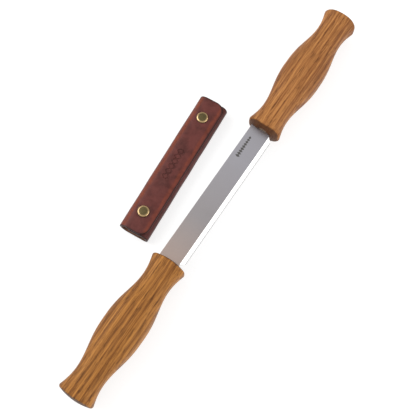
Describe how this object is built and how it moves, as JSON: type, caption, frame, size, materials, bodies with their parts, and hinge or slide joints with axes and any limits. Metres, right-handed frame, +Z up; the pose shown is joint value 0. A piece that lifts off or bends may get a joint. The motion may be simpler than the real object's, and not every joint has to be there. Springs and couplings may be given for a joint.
{
  "type": "drawknife",
  "caption": "Small straight drawknife with two contoured oak grips in line with its single-bevel blade, lying beside its folded leather sheath closed by snap fasteners.",
  "frame": {"origin": "bottom centre of the box around the knife and its sheath, on the surface that they lie on", "axes": "+X along the knife, from one grip to the other; -Y the way the cutting edge faces, so the sheath lies on the +Y side; +Z up"},
  "size_m": [0.33, 0.0674, 0.0272],
  "materials": {
    "blade_steel": "satin flat, polished bevel",
    "oak": "oiled",
    "epoxy": "cured, dark amber",
    "leather": "waxed pull-up",
    "antique_brass": "antiqued, satin",
    "spring_steel": "bright wire"
  },
  "bodies": {
    "knife": {"blade": "blade_steel", "left_grip": "oak", "right_grip": "oak", "left_tang_bedding": "epoxy", "right_tang_bedding": "epoxy"},
    "sheath": {"sheath_back": "leather"},
    "flap": {"sheath_flap": "leather", "snap_cap_left": "antique_brass", "snap_socket_left": "antique_brass", "snap_spring_left": "spring_steel", "snap_cap_right": "antique_brass", "snap_socket_right": "antique_brass", "snap_spring_right": "spring_steel"},
    "inner_panel": {"sheath_inner_panel": "leather", "snap_stud_left": "antique_brass", "snap_eyelet_left": "antique_brass", "snap_stud_right": "antique_brass", "snap_eyelet_right": "antique_brass"}
  },
  "joints": [
    {"name": "sheath_lift", "type": "slide", "parent": "knife", "child": "sheath", "axis": [0, 0, 1], "range_m": [0, 0.1]},
    {"name": "flap_hinge", "type": "hinge", "parent": "sheath", "child": "flap", "pos_m": [0.00173, 0.02982, 0.0062], "axis": [-0.9976, -0.0698, 0], "range_deg": [0, 170]},
    {"name": "inner_panel_hinge", "type": "hinge", "parent": "sheath", "child": "inner_panel", "pos_m": [0.00327, 0.00787, 0.0042], "axis": [0.9976, 0.0698, 0], "range_deg": [0, 42.5]}
  ],
  "couplings": [
    {"joint": "inner_panel_hinge", "follows": "flap_hinge", "ratio": 0.25}
  ]
}
